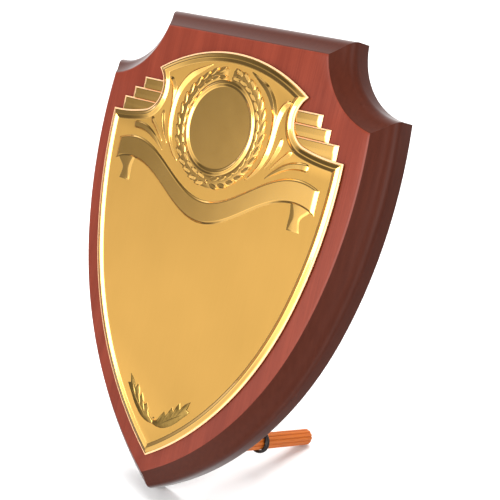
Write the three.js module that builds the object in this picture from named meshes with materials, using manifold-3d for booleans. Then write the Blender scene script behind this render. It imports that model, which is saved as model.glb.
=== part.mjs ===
// Heraldic shield plaque: a moulded wooden board with an embossed metal plate,
// standing on its tip and two fluted dowels. Millimetres, +Z up, the front faces -Y.
import * as THREE from 'three';
import { mergeVertices } from 'three/addons/utils/BufferGeometryUtils.js';
import Module from 'manifold-3d';

const wasm = await Module();
wasm.setup();

// Sizes of the wooden board. Its face lies in x and y, with y = 0 on the top edge.
const boardThickness = 18;
const faceHeight = 203;
const scoopCentre = new THREE.Vector2(86, 10.2);
const scoopRadius = 38.1;
const bellyHalfWidth = 81;
const bellyDrop = 49.8;
const upperSideRadius = 213;
const upperSideTurn = THREE.MathUtils.degToRad(16.7);

// Moulded edge: a fine quirk beside the face, a shallow hollow that flattens outwards,
// a round over down to the side and an eased back arris. Slopes are measured from the face.
const edgeReach = 7.85;
const quirkWidth = 0.1;
const quirkDepth = 0.4;
const hollowWidth = 5;
const hollowInnerSlope = THREE.MathUtils.degToRad(50);
const hollowOuterSlope = THREE.MathUtils.degToRad(36);
const backEase = 1.3;

// Fluted dowels that the board leans back on, and the rubber ring on each
const dowelDiameter = 8;
const dowelReach = 71;
const dowelSeat = 11.5;
const dowelSpacing = 44.5;
const dowelRise = 20.2;
const dowelChamfer = 0.9;
const fluteCount = 12;
const fluteDepth = 0.35;
const holeClearance = 0.3;
const ringThickness = 1.5;
const ringWidth = 3;
const ringStandoff = 34.4;
const ringClearance = 0.3;

// Metal plate, stuck on with a thin film, a little askew
const filmGap = 0.3;
const sideMargin = 8.5;
const tipMargin = 9;
const plateShift = 0.5;
const plateTurn = THREE.MathUtils.degToRad(0.78);
const plateTopRadius = 91.6;
const plateTopDrop = 6.9;
const plateScoopCentre = new THREE.Vector2(53.3, -29);
const plateScoopRadius = 11.5;
const plateShoulderDrop = 42.7;
const plateCentreDrop = 105;

// Plate heights, measured from the board's face
const rimWallTop = 1.6;
const rimCrest = 2.3;
const fieldLevel = 1.4;
const rimShoulder = 0.6;
const rimCrestInset = 2.4;
const rimFootInset = 4.4;
const sink = 0.45;

// Three stepped bars beside each scoop
const stepCount = 3;
const stepTopDrop = 25.5;
const stepPitch = 5.4;
const firstStepEnd = 55.6;
const stepGrowth = 5.8;
const stepOverlap = 0.8;
const stepHeight = 1.7;
const stepWall = 0.9;
const stepEndBevel = 1.8;
const stepTopBevel = 0.6;

// Medallion frame and laurel wreath
const medallionDrop = 40.6;
const discRadius = 18.7;
const discHeight = 0.1;
const frameCrestRadius = 20;
const frameFootRadius = 21.8;
const frameHeight = 0.9;
const wreathRadius = 24.4;
const wreathLeavesPerSide = 14;
const leafLength = 6.2;
const leafWidth = 2.7;
const leafHeight = 1;
const leafSplay = 1.35;
const leafTurn = 0.3;
const wreathGap = 0.1;

// Ribbon under the medallion
const ribbonEnd = 64;
const ribbonDrop = 18;
const ribbonSag = 20.1;
const ribbonCrest = 52;
const ribbonHalfWidth = 5.3;
const ribbonHeight = 0.9;
const ribbonEdgeBevel = 0.6;
const ribbonEndBevel = 2;
const ribbonStations = 30;
const tailHeight = 0.55;

// Ridged leaves to the right of the medallion, measured from its centre: crest line from
// tail to head, width to its left and right, height, and the shares that taper at tail and head
const scrolls = [
  {
    crest: [[22, -19], [26.2, -14.4], [29.7, -8.4], [31.6, -1.4], [31.6, 5.6], [30.2, 12.6],
      [27.2, 18.6], [22.8, 22.6], [17.3, 24.7], [12, 27]],
    left: 2.6, right: 1.1, height: 1.1, tail: 0.3, head: 0.35, stations: 15,
  },
  {
    crest: [[24, -16.9], [28.7, -10.9], [31.1, -4.4], [31.9, 2.6], [32.4, 8.6], [33.3, 13.6],
      [35, 16.6], [37.4, 18]],
    left: 1.1, right: 2.1, height: 1.1, tail: 0.3, head: 0.08, stations: 13,
  },
  {
    crest: [[31.5, 11], [31.7, 13.6], [31.4, 16.6]],
    left: 1.1, right: 1.1, height: 0.8, tail: 0.5, head: 0.2, stations: 5,
  },
  {
    crest: [[31, -12.7], [34.3, -8.9], [36.7, -4.4], [37.5, -0.4], [37.3, 1.8]],
    left: 1.3, right: 1.4, height: 1, tail: 0.5, head: 0.12, stations: 7,
  },
  {
    crest: [[34.5, -12.4], [38, -8.7], [41, -5.4], [44.2, -2.4]],
    left: 1.1, right: 1.1, height: 0.9, tail: 0.6, head: 0.15, stations: 6,
  },
  {
    crest: [[32.7, -16.1], [37, -12.7], [42, -9.6], [47, -7.6], [51, -7.1], [55.4, -7.7]],
    left: 1.5, right: 2.2, height: 0.8, tail: 0.5, head: 0.12, stations: 8,
  },
];

// Sprig at the foot of the plate, right-hand side, measured from the plate's tip:
// the leaf's spine and its pointed lobes
const sprigBlades = [
  {
    crest: [[0.8, 16.6], [7, 17.6], [13, 21.6], [20.6, 27.4]],
    left: 2.4, right: 2.2, height: 0.8, tail: 0.25, head: 0.4, stations: 7,
  },
  {
    crest: [[2.5, 17.4], [5.2, 20], [6.2, 23]],
    left: 1.2, right: 1.5, height: 0.7, tail: 0.3, head: 0.6, stations: 4,
  },
  {
    crest: [[6, 18.6], [9.4, 22.5], [10.7, 26.4]],
    left: 1.4, right: 1.6, height: 0.7, tail: 0.3, head: 0.6, stations: 4,
  },
  {
    crest: [[10, 21], [13.4, 25], [14.9, 29.5]],
    left: 1.5, right: 1.6, height: 0.7, tail: 0.3, head: 0.6, stations: 4,
  },
  {
    crest: [[13.5, 23], [17.3, 27.2], [20.6, 32.7]],
    left: 1.6, right: 1.6, height: 0.7, tail: 0.3, head: 0.6, stations: 4,
  },
];
const sprigBeadRise = 17.7;
const sprigBeadRadius = 1.3;

// Turns a closed geometry into a solid whose faces point outwards
function toSolid(geometry) {
  const bare = geometry.clone();
  bare.deleteAttribute('normal');
  bare.deleteAttribute('uv');
  const merged = mergeVertices(bare, 1e-4);
  const points = merged.attributes.position;
  const faces = merged.index.array;
  const kept = [];
  for (let i = 0; i < faces.length; i += 3) {
    const [a, b, c] = [faces[i], faces[i + 1], faces[i + 2]];
    if (a !== b && b !== c && c !== a) kept.push(a, b, c);
  }
  const corner = (i) => new THREE.Vector3().fromBufferAttribute(points, kept[i]);
  let volume = 0;
  for (let i = 0; i < kept.length; i += 3) {
    volume += corner(i).dot(corner(i + 1).cross(corner(i + 2)));
  }
  if (volume < 0) kept.reverse();
  return new wasm.Manifold(new wasm.Mesh({
    numProp: 3,
    vertProperties: new Float32Array(points.array),
    triVerts: new Uint32Array(kept),
  }));
}

// Turns a finished solid back into a geometry
function toGeometry(solid) {
  const mesh = solid.getMesh();
  const geometry = new THREE.BufferGeometry();
  geometry.setAttribute('position', new THREE.BufferAttribute(new Float32Array(mesh.vertProperties), 3));
  geometry.setIndex(new THREE.BufferAttribute(new Uint32Array(mesh.triVerts), 1));
  return geometry;
}

function joined(solids) {
  return solids.reduce((whole, solid) => whole.add(solid));
}

// Skins a row of rings, each a list of points in the same order, and caps both ends.
// An end ring of one point closes as a tip.
function loft(rings) {
  const points = rings.flat();
  const starts = rings.map((ring, i) => rings.slice(0, i).reduce((sum, r) => sum + r.length, 0));
  const faces = [];
  for (let i = 0; i + 1 < rings.length; i += 1) {
    const count = Math.max(rings[i].length, rings[i + 1].length);
    const low = (j) => starts[i] + (j % rings[i].length);
    const high = (j) => starts[i + 1] + (j % rings[i + 1].length);
    for (let j = 0; j < count; j += 1) {
      if (rings[i].length > 1) faces.push(low(j), low(j + 1), high(j));
      if (rings[i + 1].length > 1) faces.push(low(j + 1), high(j + 1), high(j));
    }
  }
  const cap = (ring, start, reversed) => {
    if (ring.length < 3) return;
    const level = ring.every((p) => Math.abs(p.z - ring[0].z) < 1e-6);
    const flat = ring.map((p) => (level ? new THREE.Vector2(p.x, p.y) : new THREE.Vector2(p.y, p.z)));
    const flip = THREE.ShapeUtils.area(flat) > 0 === reversed;
    for (const [a, b, c] of THREE.ShapeUtils.triangulateShape(flat, [])) {
      faces.push(start + (flip ? c : a), start + b, start + (flip ? a : c));
    }
  };
  const last = rings.length - 1;
  cap(rings[0], 0, true);
  cap(rings[last], starts[last], false);
  const geometry = new THREE.BufferGeometry().setFromPoints(points);
  geometry.setIndex(faces);
  return geometry;
}

// The crossing of two circles that is nearest to a point
function circlesMeet(centreA, radiusA, centreB, radiusB, near) {
  const between = centreB.clone().sub(centreA);
  const distance = between.length();
  const along = (radiusA ** 2 - radiusB ** 2 + distance ** 2) / (2 * distance);
  const aside = Math.sqrt(Math.max(radiusA ** 2 - along ** 2, 0));
  const foot = centreA.clone().addScaledVector(between, along / distance);
  const side = new THREE.Vector2(-between.y, between.x).multiplyScalar(aside / distance);
  const crossings = [foot.clone().add(side), foot.clone().sub(side)];
  return crossings.sort((p, q) => p.distanceTo(near) - q.distanceTo(near))[0];
}

// Points of an arc from one of its points to another, without the last one
function arcPoints(centre, radius, from, to, count) {
  const start = from.clone().sub(centre).angle();
  const turn = Math.atan2(
    from.clone().sub(centre).cross(to.clone().sub(centre)),
    from.clone().sub(centre).dot(to.clone().sub(centre)),
  );
  return Array.from({ length: count }, (_, i) => {
    const angle = start + (turn * i) / count;
    return new THREE.Vector2(radius * Math.cos(angle), radius * Math.sin(angle)).add(centre);
  });
}

// Closes a right-hand half outline, listed from the top to the tip, with its mirror image
function mirrorOutline(half) {
  const left = half.filter((p) => Math.abs(p.x) > 1e-6).map((p) => new THREE.Vector2(-p.x, p.y));
  return [...half, ...left.reverse()];
}

// Each side is two arcs that meet smoothly: the upper one at the belly, the lower one to the tip
function sideArcs(halfWidth, upperRadius, tip) {
  const upperCentre = new THREE.Vector2(halfWidth - upperRadius, -bellyDrop);
  const outward = new THREE.Vector2(Math.cos(upperSideTurn), -Math.sin(upperSideTurn));
  const join = upperCentre.clone().addScaledVector(outward, upperRadius);
  const toJoin = join.clone().sub(tip);
  const lowerRadius = toJoin.lengthSq() / (2 * toJoin.dot(outward));
  const lowerCentre = join.clone().addScaledVector(outward, -lowerRadius);
  return { upperCentre, upperRadius, lowerCentre, lowerRadius, outward };
}

// Where a side's lower arc, moved outwards, meets the middle line
function tipPoint({ lowerCentre, lowerRadius }, outside) {
  const below = Math.sqrt((lowerRadius + outside) ** 2 - lowerCentre.x ** 2);
  return new THREE.Vector2(0, lowerCentre.y - below);
}

// Points of a side from a start to the tip, at a distance outside its line
function sidePoints(arcs, from, outside, upperCount, lowerCount) {
  const upperRadius = arcs.upperRadius + outside;
  const join = arcs.upperCentre.clone().addScaledVector(arcs.outward, upperRadius);
  const end = tipPoint(arcs, outside);
  return [
    ...arcPoints(arcs.upperCentre, upperRadius, from, join, upperCount),
    ...arcPoints(arcs.lowerCentre, arcs.lowerRadius + outside, join, end, lowerCount),
    end,
  ];
}

const boardTip = new THREE.Vector2(0, -faceHeight);
const boardSide = sideArcs(bellyHalfWidth, upperSideRadius, boardTip);

// Outline of the board, at a distance outside the edge of its face
function boardOutline(outside) {
  const radius = scoopRadius - outside;
  const topReach = Math.sqrt(radius ** 2 - (scoopCentre.y - outside) ** 2);
  const topCorner = new THREE.Vector2(scoopCentre.x - topReach, outside);
  const near = new THREE.Vector2(bellyHalfWidth, scoopCentre.y - scoopRadius);
  const sideRadius = boardSide.upperRadius + outside;
  const shoulder = circlesMeet(scoopCentre, radius, boardSide.upperCentre, sideRadius, near);
  return mirrorOutline([
    ...arcPoints(scoopCentre, radius, topCorner, shoulder, 11),
    ...sidePoints(boardSide, shoulder, outside, 7, 16),
  ]);
}

const plateTip = new THREE.Vector2(0, -faceHeight + tipMargin);
const plateSide = sideArcs(bellyHalfWidth - sideMargin, upperSideRadius - sideMargin, plateTip);

// The plate's shoulder lies on its side, and a shelf runs level into it from the scoop
const plateShoulder = new THREE.Vector2(
  plateSide.upperCentre.x + Math.sqrt(plateSide.upperRadius ** 2 - (bellyDrop - plateShoulderDrop) ** 2),
  -plateShoulderDrop,
);
const shelfReach = plateShoulder.x - plateScoopCentre.x;
const shelfFall = plateScoopCentre.y - plateShoulder.y;
const shelfSpan = shelfReach ** 2 + shelfFall ** 2;
const shelfRadius = (shelfSpan - plateScoopRadius ** 2) / (2 * (shelfFall - plateScoopRadius));

// Outline of the plate, at a distance inside its edge
function plateOutline(inside) {
  const topCentre = new THREE.Vector2(0, -plateTopDrop - plateTopRadius);
  const topRadius = plateTopRadius - inside;
  const scoop = plateScoopRadius + inside;
  const shelfCentre = new THREE.Vector2(plateShoulder.x, plateShoulder.y + shelfRadius);
  const shelf = shelfRadius + inside;
  const apex = new THREE.Vector2(0, topCentre.y + topRadius);
  const inwards = plateScoopCentre.clone().setX(0);
  const corner = circlesMeet(topCentre, topRadius, plateScoopCentre, scoop, inwards);
  const toScoop = plateScoopCentre.clone().sub(shelfCentre).normalize();
  const bend = shelfCentre.clone().addScaledVector(toScoop, shelf);
  const shoulder = circlesMeet(
    shelfCentre, shelf, plateSide.upperCentre, plateSide.upperRadius - inside, plateShoulder,
  );
  return mirrorOutline([
    ...arcPoints(topCentre, topRadius, apex, corner, 8),
    ...arcPoints(plateScoopCentre, scoop, corner, bend, 8),
    ...arcPoints(shelfCentre, shelf, bend, shoulder, 4),
    ...sidePoints(plateSide, shoulder, -inside, 6, 14),
  ]);
}

// Rings of an outline at each step of an edge profile, a list of [distance, height]
function profileRings(outline, profile) {
  const ring = (distance, height) => outline(distance).map((p) => new THREE.Vector3(p.x, p.y, height));
  return profile.map(([distance, height]) => ring(distance, height));
}

// Edge profile of the board from the front crease to the back
function boardProfile() {
  const hollowRadius = hollowWidth / (Math.sin(hollowInnerSlope) - Math.sin(hollowOuterSlope));
  const hollow = [0, 0.5, 1].map((t) => {
    const slope = THREE.MathUtils.lerp(hollowInnerSlope, hollowOuterSlope, t);
    return [
      quirkWidth + hollowRadius * (Math.sin(hollowInnerSlope) - Math.sin(slope)),
      -quirkDepth - hollowRadius * (Math.cos(slope) - Math.cos(hollowInnerSlope)),
    ];
  });
  const [roundStart, roundTop] = hollow[hollow.length - 1];
  const roundRadius = (edgeReach - roundStart) / (1 - Math.sin(hollowOuterSlope));
  const roundOver = [0.25, 0.5, 0.75, 1].map((t) => {
    const slope = THREE.MathUtils.lerp(hollowOuterSlope, Math.PI / 2, t);
    return [
      roundStart + roundRadius * (Math.sin(slope) - Math.sin(hollowOuterSlope)),
      roundTop - roundRadius * (Math.cos(hollowOuterSlope) - Math.cos(slope)),
    ];
  });
  const arris = [0, 0.5, 1].map((t) => {
    const angle = (t * Math.PI) / 2;
    return [
      edgeReach - backEase * (1 - Math.cos(angle)),
      -boardThickness + backEase * (1 - Math.sin(angle)),
    ];
  });
  return [[0, 0], ...hollow, ...roundOver, ...arris];
}

const dowelHeight = dowelRise - faceHeight;

function dowelHole(side) {
  const radius = dowelDiameter / 2 + holeClearance;
  const depth = dowelSeat + holeClearance;
  const overshoot = 1;
  const hole = new THREE.CylinderGeometry(radius, radius, depth + overshoot, 24);
  hole.rotateX(Math.PI / 2);
  hole.translate((side * dowelSpacing) / 2, dowelHeight, -boardThickness + (depth - overshoot) / 2);
  return toSolid(hole);
}

function boardGeometry() {
  const body = toSolid(loft(profileRings(boardOutline, boardProfile()).reverse()));
  return toGeometry([-1, 1].reduce((solid, side) => solid.subtract(dowelHole(side)), body));
}

// A fluted dowel, chamfered at both ends, from inside the board to its free end
function dowelGeometry(side) {
  const radius = dowelDiameter / 2;
  const fluteTurn = (2 * Math.PI) / fluteCount;
  const section = (scale, z) => Array.from({ length: 2 * fluteCount }, (_, i) => {
    const land = fluteTurn * (Math.floor(i / 2) + (i % 2 ? 0.22 : -0.22)) - Math.PI / 2;
    const size = radius * scale;
    return new THREE.Vector3(size * Math.cos(land), size * Math.sin(land), z);
  });
  const fluted = (scale, z) => section(scale, z).flatMap((point, i) => {
    const valley = fluteTurn * (Math.floor(i / 2) + 0.5) - Math.PI / 2;
    const size = radius * scale - fluteDepth;
    const groove = new THREE.Vector3(size * Math.cos(valley), size * Math.sin(valley), z);
    return i % 2 ? [point, groove] : [point];
  });
  const small = 1 - dowelChamfer / radius;
  const inner = -boardThickness + dowelSeat;
  const outer = -boardThickness - dowelReach;
  const rings = [
    fluted(small, outer),
    fluted(1, outer + dowelChamfer),
    fluted(1, inner - dowelChamfer),
    fluted(small, inner),
  ];
  const geometry = loft(rings);
  geometry.translate((side * dowelSpacing) / 2, dowelHeight, 0);
  return toGeometry(toSolid(geometry));
}

function ringGeometry(side) {
  const inner = dowelDiameter / 2 + ringClearance;
  const middle = inner + ringThickness / 2;
  const profile = Array.from({ length: 11 }, (_, i) => {
    const angle = (i * 2 * Math.PI) / 10;
    return new THREE.Vector2(
      middle + (ringThickness / 2) * Math.cos(angle),
      (ringWidth / 2) * Math.sin(angle),
    );
  });
  const ring = new THREE.LatheGeometry(profile, 24);
  ring.rotateX(Math.PI / 2);
  ring.translate((side * dowelSpacing) / 2, dowelHeight, -boardThickness - ringStandoff);
  return toGeometry(toSolid(ring));
}

// A leaf with a ridge: its flanks rise from the field to a crest that tapers at both ends
function bladeSolid({ crest, left, right, height, tail, head, stations }, side, originHeight) {
  const curve = new THREE.CatmullRomCurve3(
    crest.map(([x, y]) => new THREE.Vector3(side * x, originHeight + y, 0)),
  );
  const foot = fieldLevel - sink;
  const rings = [];
  for (let i = 0; i <= stations; i += 1) {
    const t = i / stations;
    const point = curve.getPointAt(t);
    const taper = Math.min(1, t / tail) ** 0.7 * Math.min(1, (1 - t) / head) ** 0.5;
    if (taper === 0) {
      rings.push([new THREE.Vector3(point.x, point.y, foot)]);
    } else {
      const tangent = curve.getTangentAt(t);
      const across = new THREE.Vector3(-tangent.y, tangent.x, 0).multiplyScalar(side * taper);
      const spread = 1 + sink / height;
      rings.push([
        point.clone().addScaledVector(across, left * spread).setZ(foot),
        point.clone().addScaledVector(across, -right * spread).setZ(foot),
        point.clone().setZ(fieldLevel + height * Math.sqrt(taper)),
      ]);
    }
  }
  return toSolid(loft(rings));
}

// A bar with a flat top: a base rectangle under a smaller top one
function barSolid(low, high, topLow, topHigh, wall, height) {
  const rectangle = (a, b, z) => [[a.x, a.y], [b.x, a.y], [b.x, b.y], [a.x, b.y]]
    .map(([x, y]) => new THREE.Vector3(x, y, z));
  return toSolid(loft([
    rectangle(low, high, filmGap),
    rectangle(low, high, wall),
    rectangle(topLow, topHigh, height),
  ]));
}

// The bars run into the plate's edge and stop just inside it
function stepSolids(side) {
  const stop = toSolid(loft(profileRings(plateOutline, [[stepOverlap, 0], [stepOverlap, rimCrest]])));
  const stepRoot = plateScoopCentre.x - plateScoopRadius - 2 * stepOverlap;
  return Array.from({ length: stepCount }, (_, i) => {
    const end = firstStepEnd + i * stepGrowth;
    const top = -stepTopDrop - i * stepPitch;
    const bottom = top - stepPitch - (i + 1 < stepCount ? stepTopBevel : 2 * stepTopBevel);
    const box = (x, y) => new THREE.Vector2(side * x, y);
    const bar = barSolid(
      box(stepRoot, bottom), box(end, top),
      box(stepRoot, bottom), box(end - stepEndBevel, top - stepTopBevel),
      stepWall, stepHeight - 0.1 * i,
    );
    return bar.subtract(stop);
  });
}

function medallionSolid() {
  const base = fieldLevel - sink;
  const profile = [
    [0, base],
    [frameFootRadius, base],
    [frameFootRadius, fieldLevel + 0.1],
    [frameCrestRadius + 0.5, fieldLevel + frameHeight - 0.1],
    [frameCrestRadius - 0.3, fieldLevel + frameHeight],
    [discRadius, fieldLevel + discHeight],
    [0, fieldLevel + discHeight],
  ];
  const disc = new THREE.LatheGeometry(profile.map(([r, z]) => new THREE.Vector2(r, z)), 56);
  disc.rotateX(Math.PI / 2);
  disc.translate(0, -medallionDrop, 0);
  return toSolid(disc);
}

// Laurel wreath: two rows of leaves that climb each side from the foot to a gap at the top
function wreathSolids(side) {
  const solids = [];
  const sweep = Math.PI - wreathGap;
  for (let i = 0; i < wreathLeavesPerSide; i += 1) {
    const angle = -Math.PI / 2 + (sweep * (i + 0.35)) / wreathLeavesPerSide;
    for (const row of [-1, 1]) {
      const radius = wreathRadius + row * leafSplay;
      const root = new THREE.Vector2(radius * Math.cos(angle), radius * Math.sin(angle));
      const heading = angle + Math.PI / 2 - row * leafTurn;
      const along = new THREE.Vector2(Math.cos(heading), Math.sin(heading));
      const at = (share) => root.clone().addScaledVector(along, leafLength * share).toArray();
      solids.push(bladeSolid({
        crest: [at(-0.1), at(0.4), at(0.9)],
        left: leafWidth / 2, right: leafWidth / 2, height: leafHeight,
        tail: 0.45, head: 0.6, stations: 4,
      }, side, -medallionDrop));
    }
  }
  return solids;
}

function ribbonSolid() {
  const high = -medallionDrop - ribbonDrop;
  const centreLine = (x) => high - (ribbonSag * (1 + Math.cos((Math.PI * x) / ribbonCrest))) / 2;
  const base = fieldLevel - sink;
  const top = fieldLevel + ribbonHeight;
  const ring = (x, half, rise) => {
    const y = centreLine(x);
    const spread = half + (ribbonEdgeBevel * sink) / ribbonHeight;
    return [
      new THREE.Vector3(x, y - spread, base),
      new THREE.Vector3(x, y + spread, base),
      new THREE.Vector3(x, y + half - ribbonEdgeBevel, base + (top - base) * rise),
      new THREE.Vector3(x, y - half + ribbonEdgeBevel, base + (top - base) * rise),
    ];
  };
  const inner = ribbonEnd - ribbonEndBevel;
  const rings = [ring(-ribbonEnd, ribbonHalfWidth, 0.3)];
  for (let i = 0; i <= ribbonStations; i += 1) {
    rings.push(ring(-inner + (2 * inner * i) / ribbonStations, ribbonHalfWidth, 1));
  }
  rings.push(ring(ribbonEnd, ribbonHalfWidth, 0.3));
  return toSolid(loft(rings));
}

// The ribbon's tail hangs folded under its end and flares out below
function tailSolid(side) {
  const outline = [
    [-1.6, -24], [-5.8, -26.4], [-7.7, -28.4], [-7.1, -31.2], [-5.7, -33.9],
    [-12.6, -34.1], [-11.4, -30.9], [-10.6, -28.1], [-11.8, -25.8], [-13.8, -22.9],
  ];
  const corners = outline.map(([x, y]) => [side * (ribbonEnd + x), y - medallionDrop]);
  const ring = (z) => corners.map(([x, y]) => new THREE.Vector3(x, y, z));
  return toSolid(loft([ring(fieldLevel - sink), ring(fieldLevel + tailHeight)]));
}

function beadSolid() {
  const bead = new THREE.SphereGeometry(sprigBeadRadius, 10, 6);
  bead.translate(0, plateTip.y + sprigBeadRise, fieldLevel);
  return toSolid(bead);
}

function plateGeometry() {
  const profile = [
    [0, filmGap], [0, rimWallTop - 0.25], [rimShoulder, rimWallTop],
    [rimCrestInset, rimCrest], [rimFootInset, fieldLevel],
  ];
  const body = toSolid(loft(profileRings(plateOutline, profile)));
  const sides = [-1, 1];
  const geometry = toGeometry(joined([
    body,
    ...sides.flatMap(stepSolids),
    medallionSolid(),
    ...sides.flatMap(wreathSolids),
    ...sides.flatMap((side) => scrolls.map((blade) => bladeSolid(blade, side, -medallionDrop))),
    ribbonSolid(),
    ...sides.map(tailSolid),
    ...sides.flatMap((side) => sprigBlades.map((blade) => bladeSolid(blade, side, plateTip.y))),
    beadSolid(),
  ]));
  geometry.translate(0, plateCentreDrop, 0);
  geometry.rotateZ(plateTurn);
  geometry.translate(plateShift, -plateCentreDrop, 0);
  return geometry;
}

const wood = new THREE.MeshStandardMaterial({ color: 0x8f3b27, roughness: 0.45, metalness: 0 });
const gold = new THREE.MeshStandardMaterial({ color: 0xdca850, roughness: 0.3, metalness: 1 });
const beech = new THREE.MeshStandardMaterial({ color: 0xdf8c41, roughness: 0.6, metalness: 0 });
const rubber = new THREE.MeshStandardMaterial({ color: 0x16110f, roughness: 0.35, metalness: 0 });

function named(name, geometry, material) {
  const mesh = new THREE.Mesh(geometry, material);
  mesh.name = name;
  return mesh;
}

// The angle at which the tip's back arris and the dowels' free ends touch one level surface
function leanAngle() {
  const footHeight = dowelHeight - dowelDiameter / 2;
  const footDepth = -boardThickness - dowelReach + dowelChamfer;
  const slopes = boardProfile().map(([outside, depth]) => {
    const lowest = tipPoint(boardSide, outside).y;
    return Math.atan2(footHeight - lowest, depth - footDepth);
  });
  return Math.max(...slopes);
}

const shield = new THREE.Group();
shield.add(named('shield_board', boardGeometry(), wood));
shield.add(named('shield_plate', plateGeometry(), gold));
for (const [side, word] of [[-1, 'left'], [1, 'right']]) {
  shield.add(named(`dowel_foot_${word}`, dowelGeometry(side), beech));
  shield.add(named(`rubber_ring_${word}`, ringGeometry(side), rubber));
}
shield.rotation.x = Math.PI / 2 - leanAngle();

// Stands on z = 0 with the origin under the middle of its outer box
const plaque = new THREE.Group();
plaque.add(shield);
plaque.updateMatrixWorld(true);
const reach = new THREE.Box3().setFromObject(plaque, true);
shield.position.set(0, -(reach.min.y + reach.max.y) / 2, -reach.min.z);

export default plaque;
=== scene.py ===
import math

import bmesh
import bpy
from mathutils import Matrix, Vector
from mathutils.geometry import tessellate_polygon


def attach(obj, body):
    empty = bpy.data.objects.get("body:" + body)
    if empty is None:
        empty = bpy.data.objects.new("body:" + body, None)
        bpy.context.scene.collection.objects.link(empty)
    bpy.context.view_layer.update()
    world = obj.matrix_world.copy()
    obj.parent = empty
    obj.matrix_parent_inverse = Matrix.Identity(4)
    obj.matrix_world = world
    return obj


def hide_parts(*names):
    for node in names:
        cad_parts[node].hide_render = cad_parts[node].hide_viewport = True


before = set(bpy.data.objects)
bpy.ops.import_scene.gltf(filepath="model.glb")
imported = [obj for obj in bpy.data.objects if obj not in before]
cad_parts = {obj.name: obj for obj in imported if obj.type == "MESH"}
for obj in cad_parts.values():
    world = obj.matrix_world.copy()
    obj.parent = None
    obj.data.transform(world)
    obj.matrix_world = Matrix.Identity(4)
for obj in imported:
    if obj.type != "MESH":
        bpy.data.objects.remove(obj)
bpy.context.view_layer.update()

# Everything is drawn in millimetres on the shield's own face (x right, y up from the top
# edge, z out of the front) and then stood up, leaning back, in the frame's metres.
standing = {"lean": 19.4727, "at": (0, 21.8369, 205.4839)}
standUp = (
    Matrix.Translation(Vector(standing["at"]) / 1000)
    @ Matrix.Rotation(math.radians(90 - standing["lean"]), 4, "X")
    @ Matrix.Scale(0.001, 4)
)


def addObject(name, data):
    obj = bpy.data.objects.new(name, data)
    bpy.context.scene.collection.objects.link(obj)
    return obj


camera = {
    "lens": 78.69,
    "sensor": 36,
    "nearest": 0.01,
    "at": (340.9, -28.98, 349.61),
    "right": (0.70974, 0.23531, -0.664),
    "ahead": (-0.65542, -0.12498, -0.74485),
}


def placeCamera():
    turn = standUp.to_3x3() * 1000
    right = (turn @ Vector(camera["right"])).normalized()
    back = -(turn @ Vector(camera["ahead"])).normalized()
    up = back.cross(right).normalized()
    data = bpy.data.cameras.new("studioCamera")
    data.lens = camera["lens"]
    data.sensor_width = camera["sensor"]
    data.clip_start = camera["nearest"]
    obj = addObject("studioCamera", data)
    pose = Matrix((up.cross(back), up, back)).transposed().to_4x4()
    pose.translation = standUp @ Vector(camera["at"])
    obj.matrix_world = pose
    bpy.context.scene.camera = obj


placeCamera()
print("camera placed")


# meshes from rings of points
def newShape():
    return {"points": [], "faces": [], "paints": []}


def addFace(shape, corners, paint):
    shape["faces"].append(corners)
    shape["paints"].append(paint)


def skin(shape, rings, paint=0, closeStart=True, closeEnd=True):
    # joins rings of equal length (or a single point) with quads, painted alike or strip by strip
    starts = []
    for ring in rings:
        starts.append(len(shape["points"]))
        shape["points"].extend(ring)
    paints = paint if isinstance(paint, list) else [paint] * (len(rings) - 1)
    for i, (low, high) in enumerate(zip(rings, rings[1:])):
        count = max(len(low), len(high))
        for j in range(count):
            k = (j + 1) % count
            a = starts[i] + (j if len(low) > 1 else 0)
            b = starts[i] + (k if len(low) > 1 else 0)
            c = starts[i + 1] + (k if len(high) > 1 else 0)
            d = starts[i + 1] + (j if len(high) > 1 else 0)
            addFace(shape, [n for n, m in zip((a, b, c, d), (b, c, d, a)) if n != m], paints[i])
    if closeStart and len(rings[0]) > 2:
        addFace(shape, list(range(starts[0] + len(rings[0]) - 1, starts[0] - 1, -1)), paints[0])
    if closeEnd and len(rings[-1]) > 2:
        addFace(shape, list(range(starts[-1], starts[-1] + len(rings[-1]))), paints[-1])


def mirrored(shape):
    # the same shape with its left-hand twin
    count = len(shape["points"])
    shape["points"] += [(-x, y, z) for x, y, z in shape["points"]]
    shape["faces"] += [[n + count for n in reversed(face)] for face in shape["faces"]]
    shape["paints"] += shape["paints"]
    return shape


def merge(shape, other):
    count = len(shape["points"])
    shape["points"] += other["points"]
    shape["faces"] += [[n + count for n in face] for face in other["faces"]]
    shape["paints"] += other["paints"]


def supported(profile, shortest=0.55, margin=0.12):
    # adds points close to both ends of each long straight, so that it shades flat
    points = [profile[0]]
    for a, b in zip(profile, profile[1:]):
        length = math.dist(a, b)
        if length > shortest:
            for t in (margin / length, 1 - margin / length):
                points.append(tuple(p + (q - p) * t for p, q in zip(a, b)))
        points.append(b)
    return points


welding = {"join": 2e-6, "shortest": 1e-6}  # metres


def makePiece(name, shape, materials, sharpAngle, place=standUp):
    mesh = bpy.data.meshes.new(name)
    mesh.from_pydata([place @ Vector(p) for p in shape["points"]], [], shape["faces"])
    mesh.polygons.foreach_set("material_index", shape["paints"])
    work = bmesh.new()
    work.from_mesh(mesh)
    bmesh.ops.remove_doubles(work, verts=work.verts, dist=welding["join"])
    bmesh.ops.dissolve_degenerate(work, edges=work.edges, dist=welding["shortest"])
    bmesh.ops.recalc_face_normals(work, faces=work.faces)
    work.to_mesh(mesh)
    work.free()
    for material in materials:
        mesh.materials.append(material)
    mesh.shade_smooth()
    mesh.set_sharp_from_angle(angle=math.radians(sharpAngle))
    return addObject(name, mesh)


def handOver(obj, node):
    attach(obj, "root")
    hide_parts(node)


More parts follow.
